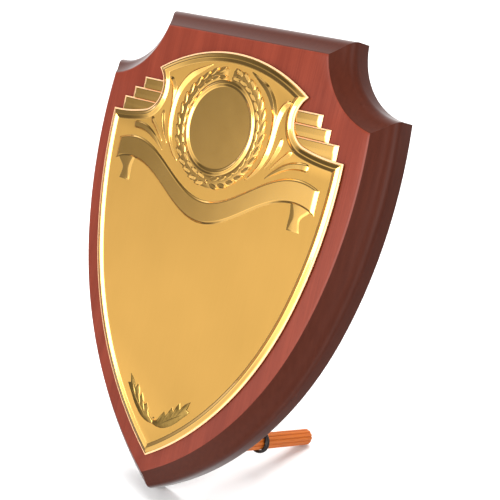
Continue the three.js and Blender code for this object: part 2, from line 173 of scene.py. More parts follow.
# node trees
class Signal:
    # a socket that can stand in a sum
    def __init__(self, nodes, socket):
        self.nodes = nodes
        self.socket = socket

    def maths(self, operation, other=0.0, reflected=False):
        pair = (other, self) if reflected else (self, other)
        return self.nodes.signal("ShaderNodeMath", {"operation": operation}, {0: pair[0], 1: pair[1]})

    def __add__(self, other):
        return self.maths("ADD", other)

    def __radd__(self, other):
        return self.maths("ADD", other, reflected=True)

    def __sub__(self, other):
        return self.maths("SUBTRACT", other)

    def __rsub__(self, other):
        return self.maths("SUBTRACT", other, reflected=True)

    def __mul__(self, other):
        return self.maths("MULTIPLY", other)

    def __rmul__(self, other):
        return self.maths("MULTIPLY", other, reflected=True)

    def __truediv__(self, other):
        return self.maths("DIVIDE", other)

    def __rtruediv__(self, other):
        return self.maths("DIVIDE", other, reflected=True)

    def __pow__(self, other):
        return self.maths("POWER", other)

    def __rpow__(self, other):
        return self.maths("POWER", other, reflected=True)

    def limited(self):
        return self.nodes.signal("ShaderNodeClamp", {}, {"Value": self})


class Nodes:
    def __init__(self, tree):
        self.tree = tree

    def add(self, kind, settings=None, sockets=None):
        node = self.tree.nodes.new(kind)
        for key, value in (settings or {}).items():
            setattr(node, key, value)
        for key, value in (sockets or {}).items():
            target = node.inputs[key]
            if isinstance(value, Signal):
                self.tree.links.new(value.socket, target)
            elif isinstance(value, bpy.types.NodeSocket):
                self.tree.links.new(value, target)
            else:
                target.default_value = value
        return node

    def signal(self, kind, settings=None, sockets=None, output=0):
        return Signal(self, self.add(kind, settings, sockets).outputs[output])


def newMaterial(name):
    material = bpy.data.materials.new(name)
    material.use_nodes = True
    material.node_tree.nodes.clear()
    return material, Nodes(material.node_tree)


def shieldCoords(nodes):
    # Object coordinates, laid back onto the shield's face, in millimetres
    where = nodes.add("ShaderNodeTexCoord")
    return nodes.signal("ShaderNodeMapping", {"vector_type": "TEXTURE"}, {
        "Vector": where.outputs["Object"],
        "Location": Vector(standing["at"]) / 1000,
        "Rotation": (math.radians(90 - standing["lean"]), 0, 0),
        "Scale": (0.001, 0.001, 0.001),
    })


def noise(nodes, face, scale, detail):
    # scale is in waves for each millimetre along the shield's x, y and z
    vector = nodes.signal("ShaderNodeMapping", {}, {"Vector": face, "Scale": scale})
    return nodes.signal("ShaderNodeTexNoise", {}, {"Vector": vector, "Scale": 1, "Detail": detail})


def bumped(nodes, height, strength, depth):
    sockets = {"Strength": strength, "Distance": depth, "Height": height}
    return nodes.signal("ShaderNodeBump", {}, sockets)


def mixColour(nodes, factor, a, b):
    ends = [(*tone, 1) if isinstance(tone, tuple) else tone for tone in (a, b)]
    sockets = {"Factor": factor, 6: ends[0], 7: ends[1]}
    return nodes.add("ShaderNodeMix", {"data_type": "RGBA"}, sockets).outputs[2]


def finished(material, nodes, sockets):
    shader = nodes.signal("ShaderNodeBsdfPrincipled", {}, sockets)
    nodes.add("ShaderNodeOutputMaterial", {}, {"Surface": shader})
    return material


# materials: each noise has its scale and detail, and each bump its strength and depth in metres
def started(name, look, *words):
    # a new material, and the noises that its look names
    material, nodes = newMaterial(name)
    face = shieldCoords(nodes)
    return material, nodes, *(noise(nodes, face, *look[word]) for word in words)


def varied(material, nodes, look, colour, grain, fine=None):
    # the grain shows in the roughness too, and in the bumps where no finer noise is given
    return finished(material, nodes, {
        "Base Color": colour,
        "Roughness": look["roughness"] + (grain - 0.5) * look["uneven"],
        "Normal": bumped(nodes, grain if fine is None else fine, *look["bump"]),
        **look.get("constants", {}),
    })


def stainedFace():
    look = {
        "dark": (0.146, 0.0205, 0.0085),
        "light": (0.25, 0.042, 0.019),
        "pore": (0.06, 0.009, 0.005),
        "bands": ((0.09, 0.006, 0.09), 4),
        "fibres": ((1.6, 0.035, 1.6), 3),
        "pores": ((3.2, 0.16, 3.2), 2),
        "roughness": 0.4,
        "uneven": 0.14,
        "bump": (0.12, 0.0002),
        "constants": {"Specular IOR Level": 0.3},
    }
    material, nodes, bands, fibres, pores = started("stainedFace", look, "bands", "fibres", "pores")
    depth = ((bands - 0.35) * 1.6 + (fibres - 0.5) * 0.9).limited()
    tone = mixColour(nodes, depth, look["dark"], look["light"])
    specks = ((pores - 0.6) * 6).limited() * 0.4
    return varied(material, nodes, look, mixColour(nodes, specks, tone, look["pore"]), fibres)


def stainedEdge():
    # the moulding is stained darker than the face, with the grain only just showing
    look = {
        "dark": (0.043, 0.0086, 0.004),
        "light": (0.071, 0.015, 0.007),
        "fibres": ((0.7, 0.03, 0.7), 4),
        "fine": ((1.4, 1.4, 1.4), 2),
        "roughness": 0.3,
        "uneven": 0.1,
        "bump": (0.08, 0.0002),
        "constants": {"Specular IOR Level": 0.17},
    }
    material, nodes, fibres, fine = started("stainedEdge", look, "fibres", "fine")
    tone = mixColour(nodes, fibres, look["dark"], look["light"])
    return varied(material, nodes, look, tone, fibres, fine)


def goldField():
    look = {
        "light": (1.0, 0.575, 0.15),
        "dark": (0.92, 0.515, 0.122),
        "brushing": ((5, 0.05, 1), 2),
        "clouds": ((0.03, 0.03, 0.03), 3),
        "roughness": 0.33,
        "uneven": (0.1, 0.06),
        "bump": (0.05, 0.0001),
    }
    material, nodes, brushing, clouds = started("goldField", look, "brushing", "clouds")
    fine, broad = look["uneven"]
    return finished(material, nodes, {
        "Base Color": mixColour(nodes, brushing * 0.5 + clouds * 0.5, look["dark"], look["light"]),
        "Metallic": 1.0,
        "Roughness": look["roughness"] + (brushing - 0.5) * fine + (clouds - 0.5) * broad,
        "Normal": bumped(nodes, brushing, *look["bump"]),
    })


def goldRelief():
    look = {
        "light": (0.97, 0.57, 0.15),
        "dark": (0.88, 0.5, 0.12),
        "clouds": ((0.12, 0.12, 0.12), 3),
        "fine": ((2.2, 2.2, 2.2), 2),
        "roughness": 0.1,
        "uneven": 0.06,
        "bump": (0.03, 0.0001),
        "constants": {"Metallic": 1.0, "Coat Weight": 0.5},
    }
    material, nodes, clouds, fine = started("goldRelief", look, "clouds", "fine")
    tone = mixColour(nodes, clouds, look["dark"], look["light"])
    return varied(material, nodes, look, tone, clouds, fine)


def goldPaintedShade():
    # painted shade: the sprig and the plate's upright walls are a darker gold, standing in for the dark
    # reflections on the sprig and the shadow along the walls
    look = {
        "light": (0.5, 0.32, 0.09),
        "dark": (0.3, 0.18, 0.045),
        "clouds": ((0.5, 0.5, 0.5), 3),
        "roughness": 0.24,
        "uneven": 0.1,
        "bump": (0.2, 0.0002),
        "constants": {"Metallic": 1.0},
    }
    material, nodes, clouds = started("goldPaintedShade", look, "clouds")
    return varied(material, nodes, look, mixColour(nodes, clouds, look["dark"], look["light"]), clouds)


def goldPaintedHighlight():
    # painted highlight: the sheet's edge strips are matt and a paler gold than its face, standing in for
    # the thin light lines along the rim and the bars' edges
    look = {
        "tone": (1.0, 0.6, 0.32),
        "grain": ((1.5, 1.5, 1.5), 2),
        "metallic": 0.5,
        "roughness": 0.5,
        "uneven": 0.15,
    }
    material, nodes, grain = started("goldPaintedHighlight", look, "grain")
    return finished(material, nodes, {
        "Base Color": (*look["tone"], 1),
        "Metallic": look["metallic"],
        "Roughness": look["roughness"] + (grain - 0.5) * look["uneven"],
    })


def beechDowel():
    look = {
        "light": (0.59, 0.15, 0.01),
        "dark": (0.42, 0.087, 0.005),
        "fleck": (0.25, 0.07, 0.014),
        "fibres": ((1.5, 1.5, 0.08), 3),
        "flecks": ((2.5, 2.5, 0.5), 1),
        "roughness": 0.55,
        "uneven": 0.2,
        "bump": (0.2, 0.0002),
    }
    material, nodes, fibres, flecks = started("beechDowel", look, "fibres", "flecks")
    tone = mixColour(nodes, fibres, look["dark"], look["light"])
    specks = ((flecks - 0.6) * 5).limited() * 0.3
    return varied(material, nodes, look, mixColour(nodes, specks, tone, look["fleck"]), fibres)


def blackRubber():
    look = {
        "tone": (0.01229, 0.00605, 0.00518),
        "worn": (0.0331, 0.01764, 0.01298),
        "dust": ((0.8, 0.8, 0.8), 4),
        "roughness": 0.22,
        "uneven": 0.2,
        "bump": (0.1, 0.0002),
    }
    material, nodes, dust = started("blackRubber", look, "dust")
    tone = mixColour(nodes, ((dust - 0.5) * 3).limited(), look["tone"], look["worn"])
    return varied(material, nodes, look, tone, dust)


finishes = {
    "face": stainedFace(),
    "edge": stainedEdge(),
    "field": goldField(),
    "relief": goldRelief(),
    # the darker gold is painted shade and the paler gold a painted highlight
    "paintedShade": goldPaintedShade(),
    "cut": goldPaintedHighlight(),
    "beech": beechDowel(),
    "rubber": blackRubber(),
}
print("materials made")


# outlines
def circlesMeet(centreA, radiusA, centreB, radiusB, near):
    between = centreB - centreA
    distance = between.length
    along = (radiusA**2 - radiusB**2 + distance**2) / (2 * distance)
    aside = math.sqrt(max(radiusA**2 - along**2, 0))
    foot = centreA + between * (along / distance)
    side = Vector((-between.y, between.x)) * (aside / distance)
    return min((foot + side, foot - side), key=lambda p: (p - near).length)


def arcPoints(centre, radius, start, end, count):
    a, b = start - centre, end - centre
    first = math.atan2(a.y, a.x)
    turn = math.atan2(a.x * b.y - a.y * b.x, a.dot(b))
    angles = [first + turn * i / count for i in range(count)]
    return [centre + radius * Vector((math.cos(t), math.sin(t))) for t in angles]


def circle(radius, count, x=0, y=0):
    turns = [2 * math.pi * i / count for i in range(count)]
    return [(x + radius * math.cos(t), y + radius * math.sin(t)) for t in turns]


def mirrorOutline(half):
    left = [Vector((-p.x, p.y)) for p in half if abs(p.x) > 1e-6]
    return half + left[::-1]


def sideArcs(halfWidth, drop, upperRadius, turn, tip):
    # two arcs, in line where they join, down to the pointed tip
    upperCentre = Vector((halfWidth - upperRadius, -drop))
    outward = Vector((math.cos(turn), -math.sin(turn)))
    join = upperCentre + outward * upperRadius
    toJoin = join - tip
    lowerRadius = toJoin.length_squared / (2 * toJoin.dot(outward))
    return {
        "upperCentre": upperCentre,
        "upperRadius": upperRadius,
        "lowerCentre": join - outward * lowerRadius,
        "lowerRadius": lowerRadius,
        "outward": outward,
    }


def sidePoints(arcs, start, outside, counts):
    upperRadius = arcs["upperRadius"] + outside
    lowerRadius = arcs["lowerRadius"] + outside
    join = arcs["upperCentre"] + arcs["outward"] * upperRadius
    centre = arcs["lowerCentre"]
    end = Vector((0, centre.y - math.sqrt(lowerRadius**2 - centre.x**2)))
    upper = arcPoints(arcs["upperCentre"], upperRadius, start, join, counts[0])
    return upper + arcPoints(centre, lowerRadius, join, end, counts[1]) + [end]


def profileRings(outline, profile):
    return [[(p.x, p.y, height) for p in outline(distance)] for distance, height in profile]


# the wooden board
woods = {"face": 0, "edge": 1}  # its material slots
board = {
    "thickness": 18,
    "faceHeight": 203,
    "scoopCentre": Vector((86, 10.2)),
    "scoopRadius": 38.1,
    "bellyHalfWidth": 81,
    "bellyDrop": 49.8,
    "sideRadius": 213,
    "sideTurn": math.radians(16.7),
    "reach": 7.85,
    "lip": [(-0.75, 0), (-0.6, -0.03), (-0.12, -0.26), (0, -0.34)],  # the face's eased edge
    "quirk": (0.1, 0.4),
    "hollowTurn": (math.radians(50), math.radians(36)),
    "hollowWidth": 5,
    "backEase": 1.3,
    "holeRadius": 4.3,
    "holeDepth": 11.8,
    "holeSpacing": 44.5,
    "holeHeight": -182.8,
    "holeSegments": 48,
    "topSegments": 6,
    "scoopSegments": 40,
    "sideSegments": (34, 72),
    "hollowSegments": 10,
    "roundSegments": 12,
    "easeSegments": 6,
    "sharp": 32,
}
boardSide = sideArcs(
    board["bellyHalfWidth"], board["bellyDrop"], board["sideRadius"], board["sideTurn"],
    Vector((0, -board["faceHeight"])),
)


def boardOutline(outside):
    radius = board["scoopRadius"] - outside
    centre = board["scoopCentre"]
    topCorner = Vector((centre.x - math.sqrt(radius**2 - (centre.y - outside) ** 2), outside))
    near = Vector((board["bellyHalfWidth"], centre.y - board["scoopRadius"]))
    sideRadius = boardSide["upperRadius"] + outside
    shoulder = circlesMeet(centre, radius, boardSide["upperCentre"], sideRadius, near)
    count = board["topSegments"]
    top = [Vector((topCorner.x * i / count, outside)) for i in range(count)]
    scoop = arcPoints(centre, radius, topCorner, shoulder, board["scoopSegments"])
    return mirrorOutline(top + scoop + sidePoints(boardSide, shoulder, outside, board["sideSegments"]))


def boardProfile():
    # a small quirk, a shallow hollow and a round over down to the side
    first, last = board["hollowTurn"]
    x, depth = board["quirk"]
    radius = board["hollowWidth"] / (math.sin(first) - math.sin(last))
    count = board["hollowSegments"]
    hollow = []
    for t in (first + (last - first) * i / count for i in range(count + 1)):
        sunk = math.cos(t) - math.cos(first)
        hollow.append((x + radius * (math.sin(first) - math.sin(t)), -depth - radius * sunk))
    endX, endZ = hollow[-1]
    crest = (board["reach"] - endX) / (1 - math.sin(last))
    count = board["roundSegments"]
    over = []
    for t in (last + (math.pi / 2 - last) * i / count for i in range(1, count + 1)):
        out, down = math.sin(t) - math.sin(last), math.cos(t) - math.cos(last)
        over.append((endX + crest * out, endZ + crest * down))
    ease = board["backEase"]
    count = board["easeSegments"]
    arris = []
    for t in (math.pi / 2 * i / count for i in range(count + 1)):
        inset, up = ease * (1 - math.cos(t)), ease * (1 - math.sin(t))
        arris.append((board["reach"] - inset, -board["thickness"] + up))
    return board["lip"] + hollow + over + arris


def buildBoard():
    shape = newShape()
    rings = profileRings(boardOutline, boardProfile())
    onFace = len(board["lip"]) - 1
    paints = [woods["face"]] * onFace + [woods["edge"]] * (len(rings) - 1 - onFace)
    skin(shape, rings, paint=paints, closeEnd=False)
    # the back face, with a blind hole for each dowel
    back = -board["thickness"]
    apart, size = board["holeSpacing"] / 2, (board["holeRadius"], board["holeSegments"])
    holes = [circle(*size, x, board["holeHeight"]) for x in (-apart, apart)]
    loops = [rings[-1]] + [[(x, y, back) for x, y in hole] for hole in holes]
    first = len(shape["points"])
    for loop in loops:
        shape["points"].extend(loop)
    for corners in tessellate_polygon([[Vector(p) for p in loop] for loop in loops]):
        addFace(shape, [first + n for n in corners], woods["edge"])
    for hole in holes:
        walls = [[(x, y, z) for x, y in hole] for z in (back, back + board["holeDepth"])]
        skin(shape, walls, paint=woods["edge"], closeStart=False)
    obj = makePiece("woodenBoard", shape, [finishes[name] for name in woods], board["sharp"])
    handOver(obj, "shield_board")


buildBoard()
print("board made")


# the embossed plate
# slot 2 is a darker gold as painted shade, slot 3 a paler gold as painted highlight
golds = {"field": 0, "relief": 1, "paintedShade": 2, "cut": 3}  # its material slots
plate = {
    "gap": 0.3,
    "sideMargin": 8.5,
    "tipMargin": 9,
    "shift": 0.5,
    "turn": math.radians(0.78),
    "topRadius": 91.6,
    "topDrop": 6.9,
    "scoopCentre": Vector((53.3, -29)),
    "scoopRadius": 11.5,
    "shoulderDrop": 42.7,
    "middle": 105,
    "fieldLevel": 1.4,
    # inset from the outline and height
    "rim": [
        (0, 0.3), (0, 1.15), (0.1, 1.38), (0.3, 1.5), (0.75, 1.56), (1.15, 1.6), (1.25, 1.64),
        (2.35, 2.2), (2.5, 2.26), (2.65, 2.29), (2.85, 2.29), (3, 2.25), (3.15, 2.17),
        (4.3, 1.5), (4.5, 1.42), (4.75, 1.4),
    ],
    # width of the paler strip along the rim's edge, a painted highlight
    "highlightWidth": 0.76,
    "topSegments": 40,
    "scoopSegments": 32,
    "shelfSegments": 16,
    "sideSegments": (30, 70),
    "sharp": 28,
}
plateSide = sideArcs(
    board["bellyHalfWidth"] - plate["sideMargin"], board["bellyDrop"],
    board["sideRadius"] - plate["sideMargin"], board["sideTurn"],
    Vector((0, -board["faceHeight"] + plate["tipMargin"])),
)


def shelfArc():
    # from the scoop, in line with it, to the shoulder
    centre, drop = plateSide["upperCentre"], plate["shoulderDrop"]
    x = centre.x + math.sqrt(plateSide["upperRadius"] ** 2 - (board["bellyDrop"] - drop) ** 2)
    reach = x - plate["scoopCentre"].x
    fall = plate["scoopCentre"].y + drop
    radius = (reach**2 + fall**2 - plate["scoopRadius"] ** 2) / (2 * (fall - plate["scoopRadius"]))
    return Vector((x, -drop)), radius


def plateOutline(inside):
    shoulderAt, shelfRadius = shelfArc()
    topCentre = Vector((0, -plate["topDrop"] - plate["topRadius"]))
    topRadius = plate["topRadius"] - inside
    scoop = plate["scoopRadius"] + inside
    scoopCentre = plate["scoopCentre"]
    shelfCentre = shoulderAt + Vector((0, shelfRadius))
    shelf = shelfRadius + inside
    apex = topCentre + Vector((0, topRadius))
    corner = circlesMeet(topCentre, topRadius, scoopCentre, scoop, Vector((0, scoopCentre.y)))
    bend = shelfCentre + (scoopCentre - shelfCentre).normalized() * shelf
    sideRadius = plateSide["upperRadius"] - inside
    shoulder = circlesMeet(shelfCentre, shelf, plateSide["upperCentre"], sideRadius, shoulderAt)
    return mirrorOutline(
        arcPoints(topCentre, topRadius, apex, corner, plate["topSegments"])
        + arcPoints(scoopCentre, scoop, corner, bend, plate["scoopSegments"])
        + arcPoints(shelfCentre, shelf, bend, shoulder, plate["shelfSegments"])
        + sidePoints(plateSide, shoulder, -inside, plate["sideSegments"])
    )


def plateBody():
    shape = newShape()
    rim = supported(plate["rim"])
    paints = []
    for inset, height in rim[1:]:
        # the outer wall is darker gold as painted shade, the strip next to it paler gold as painted
        # highlight
        name = "relief" if inset > plate["highlightWidth"] else "cut" if inset > 0 else "paintedShade"
        paints.append(golds[name])
    skin(shape, profileRings(plateOutline, rim), paint=paints)
    shape["paints"][-1] = golds["field"]
    return shape


# three bars lie beside each scoop and run in under the plate's edge
steps = {
    "count": 3,
    "top": -25.3,
    "pitch": 5.35,
    "firstEnd": 55.9,
    "growth": 5.8,
    "root": 41,
    "under": 2.2,
    "flat": 1.34,
    "tilt": 0.025,
    "fall": 0.0175,
    # inset from the bar's top edge, then from its outer end, each with the height there
    "topProfile": [
        (0, 0.82), (0.12, 0.95), (0.45, 1.16), (0.6, 1.22), (0.8, 1.26), (1, 1.255), (1.1, 1.25),
        (3.1, 1.24), (3.4, 1.22), (3.7, 1.17), (5.1, 0.84),
    ],
    "endProfile": [
        (0, 0.5), (0.15, 0.58), (0.27, 0.63), (1.6, 1.14), (1.72, 1.18), (1.95, 1.26),
        (2.2, 1.32), (2.4, 1.335),
    ],
    # the sides and strips of each bar that are painted paler, as a painted highlight
    "highlightSides": (1, 2, 3),
    "highlightStrips": 2,
}


def stepRings(end, top, bottom):
    stations = [(end - inset, level) for inset, level in reversed(steps["endProfile"])]
    rings = []
    for x, level in [(steps["root"], steps["flat"])] + stations:
        # each bar falls a little towards the plate
        fallen = steps["fall"] * max(stations[0][0] - x, 0)
        ring = [(x, top, plate["gap"])]
        for inset, height in steps["topProfile"]:
            ring.append((x, top - inset, min(height, level - steps["tilt"] * inset) - fallen))
        ring.append((x, bottom, level - steps["tilt"] * (top - bottom)))
        ring.append((x, bottom, plate["gap"]))
        rings.append(ring)
    return rings


def stepBars():
    shape = newShape()
    for i in range(steps["count"]):
        top = steps["top"] - i * steps["pitch"]
        bottom = top - steps["pitch"] - (steps["under"] if i + 1 == steps["count"] else 0)
        rings = stepRings(steps["firstEnd"] + i * steps["growth"], top, bottom)
        skin(shape, rings, paint=golds["relief"])
        # the top edge and the outer end are painted paler as a painted highlight, and the walls below and
        # the end wall darker as painted shade
        sides, strips = len(rings[0]), len(rings) - 1
        first = len(shape["faces"]) - strips * sides - 2
        for n in range(strips * sides):
            strip, side = divmod(n, sides)
            if side in steps["highlightSides"] or strip >= strips - steps["highlightStrips"]:
                shape["paints"][first + n] = golds["cut"]
            elif side == 0:
                shape["paints"][first + n] = golds["paintedShade"]
        shape["paints"][-1] = golds["paintedShade"]
    return mirrored(shape)


medallion = {
    "drop": 40.6,
    "segments": 144,
    # radius and height of the ring, then of the band below the leaves, measured from the field
    "ring": [
        (0, 1.5), (18.3, 1.5), (18.55, 1.54), (18.7, 1.6), (19.5, 2.02), (19.7, 2.12), (19.9, 2.16),
        (20.1, 2.12), (20.25, 2.04), (20.9, 1.72), (21.1, 1.66),
    ],
    "band": [
        (21.4, 0.2), (21.9, 0.31), (22.6, 0.38), (25.4, 0.38), (25.7, 0.35), (26.7, 0.1),
        (27.0, 0.02), (27.3, -0.05),
    ],
    "sunk": 0.05,
    "opening": (0.05, 0.17),  # radians from the top, over which the band fades in
}


def medallionFrame():
    # the band fades out at the top, where the wreath is open
    shape = newShape()
    count = medallion["segments"]
    near, far = medallion["opening"]
    sunk = medallion["sunk"]
    ring = supported(medallion["ring"])
    rings = []
    for radius, height in ring + medallion["band"]:
        spots = []
        for i in range(count if radius else 1):
            turn = 2 * math.pi * i / count
            z = height
            if radius > ring[-1][0]:
                fade = min(max((min(turn, 2 * math.pi - turn) - near) / (far - near), 0), 1)
                z = plate["fieldLevel"] + (height + sunk) * fade - sunk
            spots.append((radius * math.sin(turn), radius * math.cos(turn) - medallion["drop"], z))
        rings.append(spots)
    skin(shape, rings, paint=golds["relief"], closeStart=False, closeEnd=False)
    return shape


footing = {"deep": 0.3, "edge": 0.02}  # how far raised forms start below the field

# Raised leaves. Each corner of a crest has x, y, the width to its left and right, and height.
scrolls = [
    {"kind": "ridge", "crest": [
        (21.6, -60, 0.3, 0.3, 0.05), (25.4, -56.6, 0.9, 1, 0.5), (29, -51.4, 1.2, 1.5, 0.75),
        (31.1, -45, 1.4, 1.8, 0.85), (31.8, -38, 1.6, 1.9, 0.85), (31.4, -32, 1.8, 1.7, 0.85),
        (30.1, -27.6, 2.1, 1.3, 0.85), (27.6, -23, 2.5, 1.1, 0.85), (23.4, -18.9, 2.4, 1, 0.8),
        (18, -16.2, 1.5, 0.7, 0.6), (11.8, -13.5, 0.25, 0.25, 0.05)]},
    {"kind": "ridge", "crest": [
        (31.8, -38, 0.9, 1.9, 0.5), (32.3, -32.5, 1.2, 1.9, 0.85), (33.3, -28.2, 1.4, 1.9, 0.85),
        (34.7, -25.2, 1.3, 1.9, 0.85), (36.6, -23.7, 1.2, 1.6, 0.75), (38.6, -23.1, 0.4, 0.4, 0.1)]},
    {"kind": "ridge", "crest": [
        (30.8, -53.6, 0.2, 0.2, 0.05), (33.6, -49.6, 0.7, 0.9, 0.5), (35.9, -45, 0.9, 1.4, 0.75),
        (37.1, -41.2, 1, 1.5, 0.8), (37.5, -39.3, 0.8, 1.1, 0.6), (37.7, -38.2, 0.2, 0.2, 0.05)]},
    {"kind": "ridge", "crest": [
        (34.2, -53.2, 0.2, 0.2, 0.05), (37.8, -49.2, 0.8, 0.9, 0.5), (41.2, -45.9, 1, 1.2, 0.65),
        (43.4, -43.9, 1.3, 1.5, 0.7), (45, -42.6, 0.3, 0.3, 0.05)]},
    {"kind": "flat", "crest": [
        (32.6, -57.1, 0.2, 0.2, 0.05), (36.5, -54.1, 1, 0.9, 0.4), (41, -51.3, 1.6, 1.3, 0.6),
        (46, -49.1, 1.9, 1.6, 0.65), (51, -48.2, 2, 1.8, 0.65), (54.2, -48.2, 1.9, 1.8, 0.6),
        (55.9, -48.5, 1.2, 1.2, 0.05)]},
]
blades = {
    "spacing": 0.6,
    "fewest": 10,
    "support": (0.25, 0.05),
    # share of the half width and of the height, from the foot to the middle
    "ridge": [(1, 0), (0.96, 0.01), (0.9, 0.06), (0.15, 0.89), (0.08, 0.97), (0, 1)],
    "flat": [(1, 0), (0.95, 0.03), (0.88, 0.15), (0.62, 0.85), (0.55, 0.96), (0.46, 1), (0, 1)],
}


def smoothPath(corners, count, fine=24):
    # Catmull-Rom through the corners, then evenly spaced along x and y
    ends = [corners[0] * 2 - corners[1]] + corners + [corners[-1] * 2 - corners[-2]]
    dense = []
    for i in range(len(corners) - 1):
        p0, p1, p2, p3 = ends[i : i + 4]
        for t in (j / fine for j in range(fine)):
            bend = (2 * p0 - 5 * p1 + 4 * p2 - p3) * t**2 + (3 * p1 - p0 - 3 * p2 + p3) * t**3
            dense.append(0.5 * (2 * p1 + (p2 - p0) * t + bend))
    dense.append(corners[-1])
    lengths = [0.0]
    for a, b in zip(dense, dense[1:]):
        lengths.append(lengths[-1] + math.dist(a[:2], b[:2]))
    path = []
    k = 0
    for i in range(count + 1):
        target = lengths[-1] * i / count
        while k < len(dense) - 2 and lengths[k + 1] < target:
            k += 1
        part = (target - lengths[k]) / max(lengths[k + 1] - lengths[k], 1e-9)
        path.append(dense[k] + (dense[k + 1] - dense[k]) * min(max(part, 0), 1))
    return path, lengths[-1]


def addBlade(shape, kind, crest, level, paint=golds["relief"], spacing=blades["spacing"]):
    corners = [Vector(p) for p in crest]
    length = smoothPath(corners, 1)[1]
    count = max(blades["fewest"], int(length / spacing))
    path = smoothPath(corners, count)[0]
    half = supported(blades[kind], *blades["support"])
    section = half + [(-share, rise) for share, rise in reversed(half[:-1])]
    bottom = level - footing["deep"]
    rings = []
    for i, (x, y, left, right, height) in enumerate(path):
        if i in (0, count):
            rings.append([(x, y, bottom)])
            continue
        step = path[i + 1] - path[i - 1]
        across = Vector((-step[1], step[0])).normalized()
        sides = []
        for share, rise in section:
            reach = share * (left if share > 0 else right)
            sides.append((reach, level + height * rise - footing["edge"]))
        sides += [(-right, bottom), (left, bottom)]
        rings.append([(x + across.x * reach, y + across.y * reach, z) for reach, z in sides])
    skin(shape, rings, paint=paint)


def addPlateau(shape, outline, profile, paint, sharpest=0.45):
    # a flat-topped island, the profile giving inset and height from its edge inwards
    corners = [Vector(p) for p in outline]
    count = len(corners)
    turned = sum(a.x * b.y - b.x * a.y for a, b in zip(corners, corners[1:] + corners[:1]))
    side = 1 if turned > 0 else -1
    inwards = []
    for i, corner in enumerate(corners):
        before = (corner - corners[i - 1]).normalized()
        after = (corners[(i + 1) % count] - corner).normalized()
        middle = Vector((-(before + after).y, (before + after).x)).normalized() * side
        square = Vector((-after.y, after.x)) * side
        inwards.append(middle / max(middle.dot(square), sharpest))
    rings = []
    for inset, z in profile:
        rings.append([(*(corner + inward * inset), z) for corner, inward in zip(corners, inwards)])
    skin(shape, rings, paint=paint)


bead = {
    "tip": 0.2,
    "tipHeight": 0.05,
    "spacing": 0.15,
    # shares of the radius along and across, and of the height
    "stations": [(-0.6, 0.784, 0.7), (0, 0.98, 1), (0.6, 0.784, 0.7)],
}


def addBead(shape, x, y, radius, height):
    tip = (y, bead["tip"], bead["tip"], bead["tipHeight"])
    crest = [(x - radius, *tip)]
    for along, across, rise in bead["stations"]:
        crest.append((x + radius * along, y, radius * across, radius * across, height * rise))
    crest.append((x + radius, *tip))
    addBlade(shape, "ridge", crest, plate["fieldLevel"], spacing=bead["spacing"])


sprig = {
    "outline": [
        (0, -178.8), (3, -179.1), (5.6, -178.8), (8.2, -177.9), (10.5, -176.6), (12.6, -175),
        (14.6, -173.3), (16.4, -171.3), (18.2, -169.4), (19.8, -167.7), (21.4, -165.9), (19.5, -165.2),
        (20.7, -161), (17.6, -163.2), (15.3, -166.1), (14.4, -163.6), (12.4, -166.2), (11.5, -169.1),
        (10.4, -166.9), (8.6, -169.6), (7.6, -172.4), (5.9, -170.4), (4.1, -173.2), (2.6, -175.8),
        (0, -177.2),
    ],
    "edge": [(0, -0.3), (0, -0.02), (0.12, 0.06), (0.4, 0.32), (0.55, 0.36)],
    # both ends of each vein
    "veins": [
        (2.6, -177.4, 5.4, -172), (6, -176, 9.8, -169), (9.8, -174, 13.8, -165.8),
        (13.6, -171, 19.4, -163), (4, -178, 19.4, -166.8),
    ],
    "veinLevel": 0.34,
    "veinTip": 0.2,
    "veinPeak": (0.4, 0.5, 0.2),  # share of the length, half width, height
    "bead": (0.2, -176.3, 0.95, 0.75),
}


def addVein(shape, x0, y0, x1, y1):
    share, half, height = sprig["veinPeak"]
    tip = (sprig["veinTip"], sprig["veinTip"], 0)
    peak = (x0 + (x1 - x0) * share, y0 + (y1 - y0) * share, half, half, height)
    level = plate["fieldLevel"] + sprig["veinLevel"]
    # the veins are darker gold, as painted shade
    addBlade(shape, "ridge", [(x0, y0, *tip), peak, (x1, y1, *tip)], level, paint=golds["paintedShade"])


def reliefLeaves():
    shape = newShape()
    level = plate["fieldLevel"]
    for scroll in scrolls:
        addBlade(shape, scroll["kind"], scroll["crest"], level)
    edge = [(inset, level + z) for inset, z in sprig["edge"]]
    # the sprig is darker gold, as painted shade
    addPlateau(shape, sprig["outline"], edge, golds["paintedShade"])
    for vein in sprig["veins"]:
        addVein(shape, *vein)
    mirrored(shape)
    addBead(shape, *sprig["bead"])
    return shape


ribbon = {
    "end": 64,
    "high": -58.6,
    "sag": 20.1,
    "crest": 52,
    "halfWidth": 5.35,
    "height": 0.85,
    "bow": 0.9,
    "segments": 120,
    "support": (0.5, 0.1),
    # inset from the long edge, then from the end, each with the share of the height
    "edge": [(0, 0), (0.12, 0.03), (0.3, 0.18), (0.85, 0.78), (1.05, 0.94), (1.3, 1), (1.45, 1)],
    "fall": [(0, 0.02), (0.15, 0.05), (0.3, 0.12), (1.6, 0.8), (1.75, 0.87), (2.0, 0.95), (2.4, 1)],
}


def ribbonLine(x):
    return ribbon["high"] - ribbon["sag"] * (1 + math.cos(math.pi * x / ribbon["crest"])) / 2


